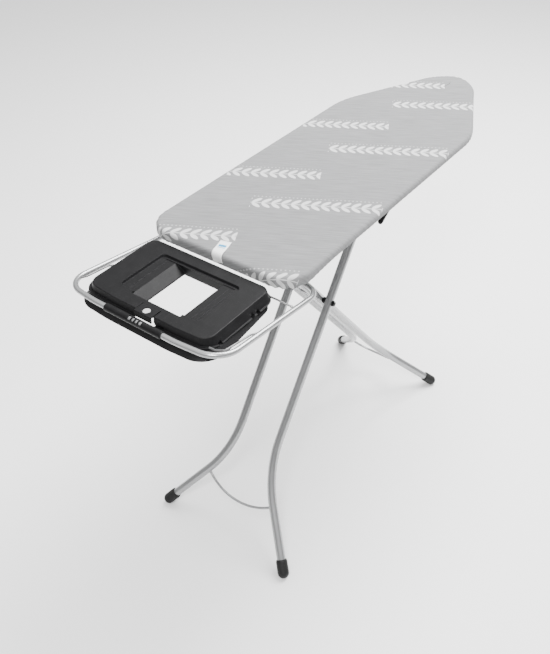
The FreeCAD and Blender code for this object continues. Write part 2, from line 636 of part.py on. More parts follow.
def build_tray(sockets):
    top = -size("tray_top")
    low = top - size("tray_depth")
    wall = size("tray_wall")
    floor = top - size("recess_depth")
    base_top = -size("base_top")
    base_low = base_top - size("base_depth")
    x0, x1 = -size("window_front"), -size("window_rear")
    left, right = size("window_left"), size("window_right")
    ramp, well_low = size("window_ramp"), -size("window_low")

    body = loft(tray_plan(13, 3, 3, 0, low), tray_plan(0, 0, 0, 0, top))
    rim = [e for e in body.Edges if abs(e.BoundBox.ZMin - e.BoundBox.ZMax) < 0.01
           and e.BoundBox.ZMax > at(0, 0, top).z - 0.1]
    body = body.makeFillet(2.2, rim)
    flange = Part.Face(tray_plan(15, 11, 5, 0, low - size("tray_flange")))
    body = body.fuse(flange.extrude(V(0, 0, size("tray_flange"))))
    hollow = loft(tray_plan(13, 3, 3, wall, low - size("tray_flange") - 0.1),
                  tray_plan(0, 0, 0, wall, top - wall))
    seat = loft(plan(190, 40, 123, 119, 0.01, 15, 15, floor - wall),
                plan(190, 40, 123, 119, 0.01, 15, 15, top))
    well = box(x0 - wall, x1 + wall, -right - wall, ramp + wall, well_low, top - 1)
    shell = body.cut(hollow.cut(seat.fuse(well))).fuse(well)
    shell = shell.cut(recess_solid(floor, top + 0.2))
    hole = box(x0, x1, -right, left, well_low - 1, top + 5)
    slope = prism(x0, x1, [(left - 1, well_low + 4), (left, well_low + 4), (ramp, floor + 0.01),
                           (ramp, top + 5), (left - 1, top + 5)])
    under = prism(x0, x1, [(left + wall, well_low - 1), (ramp + wall / 2, well_low - 1),
                           (ramp + wall / 2, floor - 2 * wall), (left + wall, well_low + 1)])
    shell = shell.cut(hole.fuse(slope)).cut(under)
    ribs = [box(-180, -60, y - 0.8, y + 0.8, floor - 0.3, floor + 0.9) for y in (96, -92, -104)]
    ribs.append(box(-52.4, -50.8, -104, 104, floor - 0.3, floor + 1.6))
    shell = shell.fuse(ribs)
    gaps = [box(-240, -205, y - 1.3, y + 1.3, low - 5, top + 5) for y in (26, -26)]
    gaps.append(box(-245, -229, -58, -27, low - 5, low + 4))
    for x in (-72, -90, -196):
        gaps.append(box(x - 5, x + 5, -188, -179, low - 5, low + 7))
    gaps.append(box(-245, -208.5, -25, 25, low - 5, top + 5))
    feature("tray", shell.cut(Part.makeCompound(gaps)).cut(sockets))

    latch = box(-236, -209, -24.5, 24.5, top - 3.2, top + 0.6)
    latch = latch.fuse(box(-236, -232.5, -24.5, 24.5, top - 15, top + 0.6))
    soft = [e for e in latch.Edges if abs(e.tangentAt(e.FirstParameter).y) > 0.9
            and e.CenterOfMass.x < at(-231, 0, 0).x and e.CenterOfMass.z > at(0, 0, top - 1).z]
    latch = latch.makeFillet(2, soft)
    hinge = box(-209, -208.5, -24.5, 24.5, top - 3, top - 0.5)
    spot = at(-221, 0, top)
    feature("tray_latch", latch.fuse(hinge).cut(rod(spot - V(0, 0, 9), spot + V(0, 0, 9), 9.2)))
    button = rod(spot - V(0, 0, 6), spot - V(0, 0, 0.6), 9.0)
    button = button.makeFillet(0.8, [e for e in button.Edges if e.BoundBox.ZMin > spot.z - 1])
    feature("latch_button", button.fuse(rod(spot - V(0, 0, 7), spot - V(0, 0, 4), 11)))

    base = loft(base_plan(15, base_low), base_plan(0, base_top))
    base = base.cut(loft(base_plan(15 - wall, base_low - 0.01), base_plan(-wall, base_top - wall)))
    frame = box(x0 - 8, x1 + 8, -right - 8, ramp + 11, base_low, base_top)
    hole = box(x0 - 4.5, x1 + 4.5, -right - 4.5, ramp + 7, base_low - 5, base_top + 5)
    front = box(-262, -226, -30, 30, base_low - 5, base_top + 1)
    base = base.fuse(frame).cut(hole).cut(box(-236, -204, -30, 30, base_low - 5, base_top + 5))
    feature("tray_base", base)


def build_wires():
    r = 2.2
    left, right = size("loop_left"), size("loop_right")
    corners, bends = loop_corners()
    tube = wire_solid(corners, bends, size("loop_radius") + 0.05, True)
    rear = [at(-1, left - 1, -57), at(-9, left - 34, -47.6),
            at(-9, 38 - right, -47.6), at(-1, 5 - right, -57)]
    wire = wire_solid(rear, 12, r).cut(tube)
    feature("holder_wire_rear", max(wire.Solids, key=lambda solid: solid.Volume))
    spots = {
        "left": [at(-222, left - 4, -30.5), at(-205, left - 14, -31), at(-140, left - 17, -38),
                 at(-122, left - 32, -41), at(-122, left - 45, -41)],
        "right": [at(-116, 2 - right, -44.5), at(-140, 15 - right, -42), at(-214, 20 - right, -33),
                  at(-222, 40 - right, -37), at(-222, 56 - right, -38)],
    }
    solids = []
    for tag, points in spots.items():
        wire = wire_solid(points, 8, r).cut(tube)
        feature("holder_wire_%s" % tag, max(wire.Solids, key=lambda solid: solid.Volume))
        solids.append(wire_solid(points, 8, r + 0.05))
    return Part.makeCompound(solids)


rim_top, rim_low = build_deck()
build_cross_members(rim_top, rim_low)
build_frames()
build_hinge_bracket(rim_low)
build_slide_rails(rim_low)
build_lever(rim_low)
build_loop(rim_low)
build_tray(build_wires())
doc.recompute()

for obj in doc.Objects:
    bad = [s for s in obj.State if s in ("Invalid", "Error")]
    if bad:
        raise RuntimeError("%s: %s" % (obj.Name, bad))

os.makedirs("parts", exist_ok=True)
for obj in parts:
    shape = obj.Shape
    if shape.isNull() or not shape.isValid() or not shape.Solids:
        raise RuntimeError("bad shape in %s" % obj.Label)
    shape.exportStep("parts/%s.step" % obj.Label)
    box_ = shape.BoundBox
    print("%-24s solids %d volume %9.0f  x %7.1f %7.1f y %7.1f %7.1f z %7.1f %7.1f" % (
        obj.Label, len(shape.Solids), shape.Volume, box_.XMin, box_.XMax, box_.YMin, box_.YMax,
        box_.ZMin, box_.ZMax))
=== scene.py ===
import json
import math

import bmesh
import bpy
import numpy as np
from mathutils import Matrix, Vector


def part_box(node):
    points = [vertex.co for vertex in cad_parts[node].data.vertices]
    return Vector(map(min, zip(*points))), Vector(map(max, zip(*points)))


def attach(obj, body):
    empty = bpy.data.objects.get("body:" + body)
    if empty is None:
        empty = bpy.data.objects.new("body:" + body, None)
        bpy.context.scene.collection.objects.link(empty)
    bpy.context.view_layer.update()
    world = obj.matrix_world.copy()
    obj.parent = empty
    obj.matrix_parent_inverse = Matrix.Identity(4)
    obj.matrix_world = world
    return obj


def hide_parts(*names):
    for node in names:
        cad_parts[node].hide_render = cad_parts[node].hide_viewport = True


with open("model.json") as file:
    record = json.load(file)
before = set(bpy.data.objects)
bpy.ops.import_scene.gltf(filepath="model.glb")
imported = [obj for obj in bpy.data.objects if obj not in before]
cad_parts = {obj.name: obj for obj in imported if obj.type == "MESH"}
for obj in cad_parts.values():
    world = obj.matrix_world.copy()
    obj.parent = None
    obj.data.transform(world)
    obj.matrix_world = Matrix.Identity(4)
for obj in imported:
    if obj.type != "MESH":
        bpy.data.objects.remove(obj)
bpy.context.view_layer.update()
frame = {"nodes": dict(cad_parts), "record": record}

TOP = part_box("cover")[1].z
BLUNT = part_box("cover")[0].x
MM = 0.001


# ------------------------------------------------------------------ mesh helpers

def surface(name, points, closed=False, uv=None):
    """A smooth mesh over a grid of points, shape (rows, columns, 3): one quad for each cell, with
    the last column joined to the first when closed."""
    rows, columns = points.shape[:2]
    index = np.arange(rows * columns).reshape(rows, columns)
    right = np.roll(index, -1, axis=1)
    cells = columns if closed else columns - 1
    quads = np.stack([index[:-1], right[:-1], right[1:], index[1:]], axis=-1)
    quads = quads[:, :cells].reshape(-1, 4)
    mesh = bpy.data.meshes.new(name)
    mesh.from_pydata(points.reshape(-1, 3), [], quads.tolist())
    if uv is not None:
        corners = np.zeros(len(mesh.loops), np.int32)
        mesh.loops.foreach_get("vertex_index", corners)
        layer = mesh.uv_layers.new(name="cloth")
        layer.data.foreach_set("uv", uv.reshape(-1, 2)[corners].ravel())
    mesh.shade_smooth()
    piece = bpy.data.objects.new(name, mesh)
    bpy.context.scene.collection.objects.link(piece)
    return piece


def weld(piece, gap=0.02 * MM):
    """Joins the points that coincide and turns all faces outwards."""
    work = bmesh.new()
    work.from_mesh(piece.data)
    bmesh.ops.remove_doubles(work, verts=work.verts, dist=gap)
    bmesh.ops.recalc_face_normals(work, faces=work.faces)
    work.to_mesh(piece.data)
    work.free()
    return piece


def solidify(piece, gauge):
    """Gives a cloth its thickness, inwards from the outer face."""
    wall = piece.modifiers.new("gauge", "SOLIDIFY")
    wall.thickness = gauge
    wall.offset = -1
    return piece


# ------------------------------------------------------------------ the deck's outline

def arc_points(cx, cy, radius, start, end):
    """Points and outward normals round a circle, one each 0.2 mm or so."""
    count = max(8, int(abs(end - start) * radius / 0.0002))
    a = np.linspace(start, end, count)
    out = np.stack([np.cos(a), np.sin(a)], axis=-1)
    return np.array([cx, cy]) + radius * out, out


def outline(count):
    """The deck's edge seen from above, as count points spaced evenly along it, with the outward
    normal and the curvature at each. Tangent arcs: a round corner, a straight side, a broad bend,
    a taper, an ogive and a round tip, then the same mirrored. It starts at the middle of the
    blunt end and goes round by the left side."""
    half, corner, bend, ogive, tip = 0.225, 0.072, 0.250, 0.153, 0.060
    slope = math.radians(90 - 25.2)
    ogive_x, ogive_y = 1.0873, -0.0453
    tip_x = ogive_x + math.sqrt((ogive - tip) ** 2 - ogive_y ** 2)
    meet = math.atan2(-ogive_y, tip_x - ogive_x)
    runs = [arc_points(corner, half - corner, corner, math.pi, math.pi / 2),
            arc_points(0.816, half - bend, bend, math.pi / 2, slope),
            arc_points(ogive_x, ogive_y, ogive, slope, meet),
            arc_points(tip_x, 0, tip, meet, 0)]
    points = np.concatenate([[[0.0, 0.0]]] + [run[0] for run in runs])
    normals = np.concatenate([[[-1.0, 0.0]]] + [run[1] for run in runs])
    mirror = np.array([1, -1])
    points = np.concatenate([points, (points * mirror)[-2::-1]])
    normals = np.concatenate([normals, (normals * mirror)[-2::-1]])
    steps = np.linalg.norm(np.diff(points, axis=0), axis=1)
    along = np.concatenate([[0], np.cumsum(steps)])
    spots = np.linspace(0, along[-1], count, endpoint=False)
    points = np.stack([np.interp(spots, along, points[:, k]) for k in (0, 1)], axis=-1)
    normals = np.stack([np.interp(spots, along, normals[:, k]) for k in (0, 1)], axis=-1)
    normals /= np.linalg.norm(normals, axis=1, keepdims=True)
    turn = np.linalg.norm(np.roll(normals, -1, 0) - np.roll(normals, 1, 0), axis=1)
    curvature = turn / (2 * along[-1] / count)
    points[:, 0] += BLUNT
    return points, normals, curvature, spots, along[-1]


def spine_of(points):
    """The point on the deck's middle line that faces each point of the outline."""
    middle = np.zeros_like(points)
    middle[:, 0] = np.clip(points[:, 0], BLUNT + 0.165, BLUNT + 1.12)
    return middle


# ------------------------------------------------------------------ cloth

EDGE_ROLL = 10 * MM
SIDE_LOW = 16.4 * MM
HEM_ROLL = 2.4 * MM
BLUNT_SAG = 8.5 * MM
CLOTH_REST = 0.8 * MM


def gathers(spots, length, curvature):
    """How far a gathered hem stands out along the edge: rounded puffs between sharp creases,
    larger where the edge turns, with slower waves that vary their size and spacing."""
    turn = 2 * math.pi * spots / length
    drift = 1.6 * np.sin(7 * turn + 0.4) + 1.1 * np.sin(12 * turn + 2.1) + 0.7 * np.sin(19 * turn)
    puffs = np.abs(np.sin(84 * turn + drift)) ** 0.8
    small = np.abs(np.sin(191 * turn + 1.7 * drift))
    size = 0.68 + 0.32 * np.sin(23 * turn + 1.3) * np.sin(5 * turn + 0.7)
    tight = np.clip(curvature / 9, 0, 1)
    spread = np.convolve(np.tile(tight, 3), np.hanning(31) / 15, "same")[len(tight):2 * len(tight)]
    return (0.75 * puffs + 0.25 * small - 0.55) * size * (0.36 + 2.0 * spread)


def edge_profile():
    """The cloth's section at the edge as rows of inset, height, distance along the cloth from the
    upper end of the roll, the outward and upward shares of the surface's normal, and the share of
    the hem's extra sag that the row takes."""
    rows = [(d * MM, 0, -d * MM, 0, 1, 0) for d in (70, 58, 48, 40, 33, 27, 22, 18, 14.5, 11.8)]
    for angle in np.radians((0, 15, 30, 45, 60, 75, 90)):
        inset, fall = EDGE_ROLL * (1 - math.sin(angle)), EDGE_ROLL * (1 - math.cos(angle))
        rows.append((inset, -fall, EDGE_ROLL * (angle - 1), math.sin(angle), math.cos(angle), 0))
    side = EDGE_ROLL * (math.pi / 2 - 1)
    for share in (0.2, 0.4, 0.6, 0.8, 1.0):
        fall = share * (SIDE_LOW - EDGE_ROLL)
        rows.append((0, -EDGE_ROLL - fall, side + fall, 1, 0, share))
    turned = side + SIDE_LOW - EDGE_ROLL
    for angle in np.radians((30, 60, 90)):
        rows.append((HEM_ROLL * (1 - math.cos(angle)), -SIDE_LOW - HEM_ROLL * math.sin(angle),
                     turned + HEM_ROLL * angle, math.cos(angle), -math.sin(angle), 1))
    drop = SIDE_LOW + HEM_ROLL
    flat = turned + HEM_ROLL * (math.pi / 2 - 1)
    for inset in (5.5, 9, 13, 17, 21, 25, 29, 33):
        rows.append((inset * MM, -drop, flat + inset * MM, 0, -1, 1))
    for angle in np.radians((-50, 0, 50, 100, 150)):
        rows.append((36 * MM + 2.6 * MM * math.sin(angle),
                     -drop - 1.5 * MM + 1.5 * MM * math.cos(angle),
                     flat + (36 + 2.2 * angle) * MM, 0.3 * math.sin(angle), -math.cos(angle), 1))
    return np.array(rows)


def make_cover():
    """The cloth cover: rings round the deck. Inside, each ring is the outline shrunk towards the
    middle line. Near the edge it is the outline offset inwards, then it rolls over the edge, drops
    down the side and returns under the rim to a corded hem, which hangs lower round the blunt end.
    Puffs push it outwards."""
    points, normals, curvature, spots, length = outline(820)
    rows = edge_profile()
    inset, height, cloth, out, lift, hang = rows.T[:, :, None]
    puff = gathers(spots, length, curvature)[None, :]
    near = np.clip((BLUNT + 0.17 - points[:, 0]) / 0.15, 0, 1)
    sag = hang * BLUNT_SAG * (near * near * (3 - 2 * near))[None, :]
    above = 1.4 * np.exp(np.minimum(cloth, 0) / (21 * MM))
    below = 1.4 + 75 * np.clip(cloth, 0, 0.02)
    strength = np.where(cloth < 0, above, np.where(cloth > 20 * MM, 1.7, below)) * MM
    push = puff * strength
    ring_xy = points[None] - normals[None] * inset[..., None]
    ring_xy = ring_xy + normals[None] * (push * out)[..., None]
    ring_z = TOP - CLOTH_REST + height - sag + push * lift
    edge = np.concatenate([ring_xy, ring_z[..., None]], axis=-1)
    flat_edge = points[None] + normals[None] * (cloth + sag)[..., None]

    share = np.linspace(0, 1, 13)[:-1]
    middle = spine_of(points)
    first = points - normals * rows[0, 0]
    inner_xy = middle[None] + share[:, None, None] * (first - middle)[None]
    inner_z = TOP - CLOTH_REST + push[0] * np.exp(-(1 - share) * 5)[:, None]
    inner = np.concatenate([inner_xy, inner_z[..., None]], axis=-1)
    grid = np.concatenate([inner, edge])
    x, y = grid[..., 0], grid[..., 1]
    soft = np.sin(9 * x + 2 * y + 1) + np.sin(23 * y - 6 * x) + np.sin(31 * x + 17 * y + 2)
    top_rows = len(share) + 10
    grid[:top_rows, :, 2] += 0.1 * MM * soft[:top_rows]
    piece = surface("ironing_cover", grid, closed=True, uv=np.concatenate([inner_xy, flat_edge]))
    weld(piece)
    solidify(piece, 1.1 * MM)
    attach(piece, "deck")
    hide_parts("cover")
    return piece


def make_label():
    """A folded cloth tape sewn over the blunt edge: it runs slantwise across the top, rolls over
    the edge with the cover and hangs down its side, a little proud of it."""
    across = np.linspace(-14.5, 14.5, 13) * MM
    along = np.linspace(-52, 19, 46) * MM
    u, v = np.meshgrid(across, along)
    slant = math.radians(14)
    cloth = v * math.cos(slant) + u * math.sin(slant)
    sideways = -8 * MM - v * math.sin(slant) + u * math.cos(slant)
    angle = np.clip(cloth / EDGE_ROLL + 1, 0, math.pi / 2)
    inset = np.where(cloth < -EDGE_ROLL, -cloth, EDGE_ROLL * (1 - np.sin(angle)))
    beyond = np.clip(cloth - EDGE_ROLL * (math.pi / 2 - 1), 0, 1)
    height = -EDGE_ROLL * (1 - np.cos(angle)) - beyond
    proud = 1.0 * MM + 0.5 * MM * np.sin(90 * v + 1) * (np.abs(u) / (14.5 * MM)) ** 2
    x = BLUNT + inset - proud * np.sin(angle)
    z = TOP - 0.5 * MM + height + proud * np.cos(angle)
    grid = np.stack([x, sideways, z], axis=-1)
    piece = surface("care_label", grid, uv=np.stack([u, v], axis=-1))
    piece.data.flip_normals()
    solidify(piece, 0.5 * MM)
    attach(piece, "deck")
    return piece


def make_pad():
    """The felt pad under the cover: the outline offset inwards, with a rounded rim and level
    faces, closed over the top and the bottom."""
    points, normals, _, _, _ = outline(400)
    low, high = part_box("pad")
    middle_z, half = (low.z + high.z) / 2 - 0.5 * MM, (high.z - low.z) / 2 - 0.8 * MM
    angles = np.radians((90, 60, 30, 0, -30, -60, -90))
    inset = (3.6 * MM + 1.6 * half * (1 - np.cos(angles)))[:, None, None]
    rim_xy = points[None] - normals[None] * inset
    rim_z = np.broadcast_to((middle_z + half * np.sin(angles))[:, None], rim_xy.shape[:2])
    rim = np.concatenate([rim_xy, rim_z[..., None]], axis=-1)
    share = np.linspace(0, 1, 9)[:-1]
    middle = spine_of(points)
    inner_xy = middle[None] + share[:, None, None] * (rim_xy[0] - middle)[None]
    x, y = inner_xy[..., 0], inner_xy[..., 1]
    dimple = 0.2 * MM * np.sin(60 * x) * np.sin(55 * y)
    upper = np.concatenate([inner_xy, (middle_z + half + dimple)[..., None]], axis=-1)
    lower = np.concatenate([inner_xy, (middle_z - half - dimple)[..., None]], axis=-1)[::-1]
    piece = surface("felt_pad", np.concatenate([upper, rim, lower]), closed=True)
    weld(piece)
    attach(piece, "deck")
    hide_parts("pad")
    return piece


# ------------------------------------------------------------------ steel under the pad

def make_expanded_mesh():
    """The deck's expanded steel: diamonds with a diamond hole in each, in staggered rows, and a
    flat border that follows the outline over the rim."""
    low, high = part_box("deck_mesh")
    points, normals, _, _, _ = outline(420)
    border = 26 * MM
    pitch, rise = 32 * MM, 15 * MM
    count_x, count_y = int(1.25 / (pitch / 2)), int(0.45 / rise) + 2
    i, j = np.meshgrid(np.arange(count_x), np.arange(-count_y // 2, count_y // 2 + 1),
                       indexing="ij")
    centre = np.stack([BLUNT + i * pitch / 2, (j + 0.5 * (i % 2)) * rise], axis=-1).reshape(-1, 2)
    gap = np.linalg.norm(centre[:, None] - points[None], axis=2).min(axis=1)
    left = points[:211]
    inside = np.abs(centre[:, 1]) < np.interp(centre[:, 0], left[:, 0], left[:, 1])
    centre = centre[inside & (gap > border - 6 * MM)]
    ring = np.array([[0.5, 0], [0, 0.5], [-0.5, 0], [0, -0.5]]) * [pitch, rise]
    hole = ring * [0.70, 0.62]
    top_z, low_z = high.z - 0.15 * MM, low.z + 0.15 * MM
    loops = [(ring, top_z), (hole, top_z), (hole, low_z), (ring, low_z)]
    cells = np.stack([np.concatenate([np.broadcast_to(shape, (len(centre), 4, 2)) + centre[:, None],
                                      np.full((len(centre), 4, 1), z)], axis=-1)
                      for shape, z in loops], axis=1)
    a = np.arange(4)
    b = np.roll(a, -1)
    faces = np.concatenate([np.stack([4 * k + a, 4 * k + b, 4 * k + 4 + b, 4 * k + 4 + a], axis=-1)
                            for k in range(3)])
    quads = (faces[None] + 16 * np.arange(len(centre))[:, None, None]).reshape(-1, 4)
    insets = np.array([3.0 * MM, border, border, 3.0 * MM, 3.0 * MM])[:, None, None]
    heights = np.array([high.z, high.z, low.z, low.z, high.z])
    band_xy = points[None] - normals[None] * insets
    band_z = np.broadcast_to(heights[:, None], band_xy.shape[:2])
    band = np.concatenate([band_xy, band_z[..., None]], axis=-1)
    index = np.arange(band.shape[0] * band.shape[1]).reshape(band.shape[:2]) + cells.size // 3
    right = np.roll(index, -1, axis=1)
    band_quads = np.stack([index[:-1], right[:-1], right[1:], index[1:]], axis=-1).reshape(-1, 4)
    mesh = bpy.data.meshes.new("expanded_steel")
    mesh.from_pydata(np.concatenate([cells.reshape(-1, 3), band.reshape(-1, 3)]), [],
                     np.concatenate([quads, band_quads]).tolist())
    piece = bpy.data.objects.new("expanded_steel", mesh)
    bpy.context.scene.collection.objects.link(piece)
    weld(piece, 0.01 * MM)
    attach(piece, "deck")
    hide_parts("deck_mesh")
    return piece


FOOT_RADIUS = 16.5
BRACE_RADIUS = 3.8 * MM
REAR_WIRE_RADIUS = 2.2 * MM


def frame_spot(foot, tilt, along, across):
    """A place in a leg frame's plane, from its feet's distance from the blunt end, the slope's
    angle, the distance up the slope and the distance across, all in millimetres."""
    angle = math.radians(tilt)
    return (BLUNT + (foot + along * math.cos(angle)) * MM, across * MM,
            (FOOT_RADIUS + along * math.sin(angle)) * MM)


def frame_way(tilt, along, across):
    """A direction in a leg frame's plane."""
    angle = math.radians(tilt)
    return (along * math.cos(angle), across, along * math.sin(angle))


def make_beads(name, body, spots):
    """Weld beads: at each spot a low rippled ring round a rod's end, made as a bumpy torus that
    faces along the rod. Spots are (centre, direction, rod radius)."""
    around, section = np.meshgrid(np.linspace(0, 2 * math.pi, 25)[:-1],
                                  np.linspace(0, 2 * math.pi, 9)[:-1], indexing="ij")
    pieces = []
    for centre, direction, radius in spots:
        axis = np.array(direction, float) / np.linalg.norm(direction)
        side = np.cross(axis, [0.3, 0.9, 0.2])
        side /= np.linalg.norm(side)
        over = np.cross(axis, side)
        fat = 1.5 * MM * (1 + 0.22 * np.sin(6 * around) * np.cos(section))
        reach = radius + fat * np.cos(section)
        grid = (np.array(centre) + axis * (fat * np.sin(section))[..., None]
                + side * (reach * np.cos(around))[..., None]
                + over * (reach * np.sin(around))[..., None])
        closed = np.concatenate([grid, grid[:1]])
        pieces.append(surface(name, closed, closed=True))
    bpy.context.view_layer.objects.active = pieces[0]
    for piece in pieces:
        piece.select_set(True)
    with bpy.context.temp_override(active_object=pieces[0], selected_editable_objects=pieces):
        bpy.ops.object.join()
    whole = pieces[0]
    weld(whole)
    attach(whole, body)
    return whole


# ------------------------------------------------------------------ finishes

def node(tree, kind, inputs=None, **settings):
    """Adds one shader node, sets its properties, and fills or links its inputs."""
    made = tree.nodes.new("ShaderNode" + kind)
    for key, value in settings.items():
        setattr(made, key, value)
    for key, value in (inputs or {}).items():
        if isinstance(value, bpy.types.NodeSocket):
            tree.links.new(value, made.inputs[key])
        else:
            made.inputs[key].default_value = value
    return made


def math_node(tree, operation, a, b=0.0, c=0.0):
    """One sum on up to three values or sockets."""
    return node(tree, "Math", {0: a, 1: b, 2: c}, operation=operation).outputs[0]


def group(name, inputs, outputs):
    """An empty node group with named sockets. Inputs are (name, type, value)."""
    tree = bpy.data.node_groups.new(name, "ShaderNodeTree")
    for label, kind, value in inputs:
        socket = tree.interface.new_socket(label, in_out="INPUT", socket_type="NodeSocket" + kind)
        socket.default_value = value
    for label, kind in outputs:
        tree.interface.new_socket(label, in_out="OUTPUT", socket_type="NodeSocket" + kind)
    return tree, tree.nodes.new("NodeGroupInput").outputs, tree.nodes.new("NodeGroupOutput").inputs


def material(name, color, roughness, metallic=0.0):
    """A principled material with its constant values on the shader's own sockets."""
    made = bpy.data.materials.new(name)
    made.use_nodes = True
    tree = made.node_tree
    shader = tree.nodes["Principled BSDF"]
    shader.inputs["Base Color"].default_value = (*color, 1)
    shader.inputs["Roughness"].default_value = roughness
    shader.inputs["Metallic"].default_value = metallic
    return made, tree, shader


def use(finish, *nodes):
    """Puts a finish on CAD nodes or on finished pieces."""
    for item in nodes:
        target = frame["nodes"][item] if isinstance(item, str) else item
        target.data.materials.clear()
        target.data.materials.append(finish)


def make_grain_group():
    """Fine moulded grain: rounded cells and softer waves, with a slow mask of uneven gloss."""
    tree, inputs, outputs = group("moulded grain",
                                  [("Size", "Float", 900.0), ("Depth", "Float", 0.3),
                                   ("Normal", "Vector", (0, 0, 0))],
                                  [("Normal", "Vector"), ("Mask", "Float")])
    place = node(tree, "TexCoord").outputs["Object"]
    cells = node(tree, "TexVoronoi", {"Vector": place, "Scale": inputs["Size"]},
                 feature="SMOOTH_F1")
    wider = math_node(tree, "MULTIPLY", inputs["Size"], 0.35)
    broad = node(tree, "TexNoise", {"Vector": place, "Scale": wider, "Detail": 3.0})
    slow = node(tree, "TexNoise", {"Vector": place, "Scale": 38.0, "Detail": 5.0})
    height = math_node(tree, "MULTIPLY_ADD", broad.outputs["Fac"], 0.6, cells.outputs["Distance"])
    bump = node(tree, "Bump", {"Strength": inputs["Depth"], "Distance": 0.0002, "Height": height,
                               "Normal": inputs["Normal"]})
    tree.links.new(bump.outputs[0], outputs["Normal"])
    tree.links.new(slow.outputs["Fac"], outputs["Mask"])
    return tree


def make_edge_group():
    """Softened edges: a rounded normal, and a mask that is 1 where it leaves the true normal."""
    tree, inputs, outputs = group("softened edge", [("Radius", "Float", 0.0006)],
                                  [("Normal", "Vector"), ("Mask", "Float")])
    rounded = node(tree, "Bevel", {"Radius": inputs["Radius"]}, samples=6).outputs[0]
    true = node(tree, "NewGeometry").outputs["True Normal"]
    match = node(tree, "VectorMath", {0: rounded, 1: true},
                 operation="DOT_PRODUCT").outputs["Value"]
    mask = node(tree, "MapRange", {"Value": match, "From Min": 0.995, "From Max": 0.80})
    tree.links.new(rounded, outputs["Normal"])
    tree.links.new(mask.outputs[0], outputs["Mask"])
    return tree


def make_dust_group():
    """Dust and rub marks: fine specks and faint crossed scratches, stronger on faces turned up."""
    tree, inputs, outputs = group("dust and rub", [("Amount", "Float", 0.3)], [("Mask", "Float")])
    place = node(tree, "TexCoord").outputs["Object"]
    up = node(tree, "SeparateXYZ", {0: node(tree, "NewGeometry").outputs["Normal"]}).outputs[2]
    facing = node(tree, "MapRange", {"Value": up, "From Min": -0.2, "From Max": 1.0}).outputs[0]
    specks = node(tree, "TexNoise", {"Vector": place, "Scale": 420.0, "Detail": 4.0,
                                     "Roughness": 0.7})
    dots = node(tree, "MapRange", {"Value": specks.outputs["Fac"], "From Min": 0.56,
                                   "From Max": 0.72})
    drawn = node(tree, "Mapping", {"Vector": place, "Rotation": (0.2, 0.1, 0.6),
                                   "Scale": (12, 700, 260)})
    lines = node(tree, "TexNoise", {"Vector": drawn.outputs[0], "Scale": 1.0, "Detail": 2.0})
    rub = node(tree, "MapRange", {"Value": lines.outputs["Fac"], "From Min": 0.66, "From Max": 0.8})
    both = math_node(tree, "MAXIMUM", dots.outputs[0], rub.outputs[0])
    shown = math_node(tree, "MULTIPLY", both, facing)
    tree.links.new(math_node(tree, "MULTIPLY", shown, inputs["Amount"]), outputs["Mask"])
    return tree


LEAF_PITCH = 0.0125
LEAF_LEAN = math.radians(42)
LEAF_LENGTH, LEAF_WIDTH = 0.0150, 0.0058
DOT_PITCH = 0.005


def make_strip_group():
    """A printed strip: pairs of leaves along a stem, and a fine row of dots beside it. The vector
    is measured from the strip's middle, along and across it, in metres."""
    tree, inputs, outputs = group("leaf strip",
                                  [("Vector", "Vector", (0, 0, 0)), ("Reach", "Float", 0.15)],
                                  [("Mask", "Float")])
    parts = node(tree, "SeparateXYZ", {0: inputs["Vector"]}).outputs
    along, across = parts[0], parts[1]
    far = math_node(tree, "ABSOLUTE", across)
    cell = math_node(tree, "WRAP", along, LEAF_PITCH, -LEAF_PITCH)
    cosine, sine = math.cos(LEAF_LEAN), math.sin(LEAF_LEAN)
    shifted = math_node(tree, "SUBTRACT", far, 0.0112)
    spread = []
    for with_cell, with_shift, reach in ((cosine, sine, LEAF_LENGTH), (-sine, cosine, LEAF_WIDTH)):
        turned = math_node(tree, "MULTIPLY_ADD", cell, with_cell,
                           math_node(tree, "MULTIPLY", shifted, with_shift))
        part = math_node(tree, "ABSOLUTE", math_node(tree, "DIVIDE", turned, reach))
        spread.append(math_node(tree, "POWER", part, 1.8))
    leaf = node(tree, "MapRange", {"Value": math_node(tree, "ADD", *spread), "From Min": 1.12,
                                   "From Max": 0.9}).outputs[0]
    stem = node(tree, "MapRange", {"Value": far, "From Min": 0.0013,
                                   "From Max": 0.0009}).outputs[0]
    beside = math_node(tree, "SUBTRACT", across, 0.031)
    step = math_node(tree, "WRAP", along, DOT_PITCH, -DOT_PITCH)
    from_dot = node(tree, "CombineXYZ", {0: step, 1: beside}).outputs[0]
    distance = node(tree, "VectorMath", {0: from_dot}, operation="LENGTH").outputs["Value"]
    dots = node(tree, "MapRange", {"Value": distance, "From Min": 0.0024,
                                   "From Max": 0.0019}).outputs[0]
    drawn = math_node(tree, "MAXIMUM", math_node(tree, "MAXIMUM", leaf, stem),
                      math_node(tree, "MULTIPLY", dots, 0.45))
    end = math_node(tree, "LESS_THAN", math_node(tree, "ABSOLUTE", along), inputs["Reach"])
    tree.links.new(math_node(tree, "MULTIPLY", drawn, end), outputs["Mask"])
    return tree


def placed(tree, kind_tree, **inputs):
    """Places a node group with its own values and gives its outputs."""
    made = node(tree, "Group")
    made.node_tree = kind_tree
    for key, value in inputs.items():
        if isinstance(value, bpy.types.NodeSocket):
            tree.links.new(value, made.inputs[key])
        else:
            made.inputs[key].default_value = value
    return made.outputs


def blend_color(tree, factor, a, b):
    """Mixes two colours by a mask."""
    return node(tree, "Mix", {"Factor": factor, "A": a, "B": b}, data_type="RGBA").outputs["Result"]


def shade(color, share):
    """A colour made lighter or darker, with its alpha."""
    return tuple(share * c for c in color[:3]) + (1,)


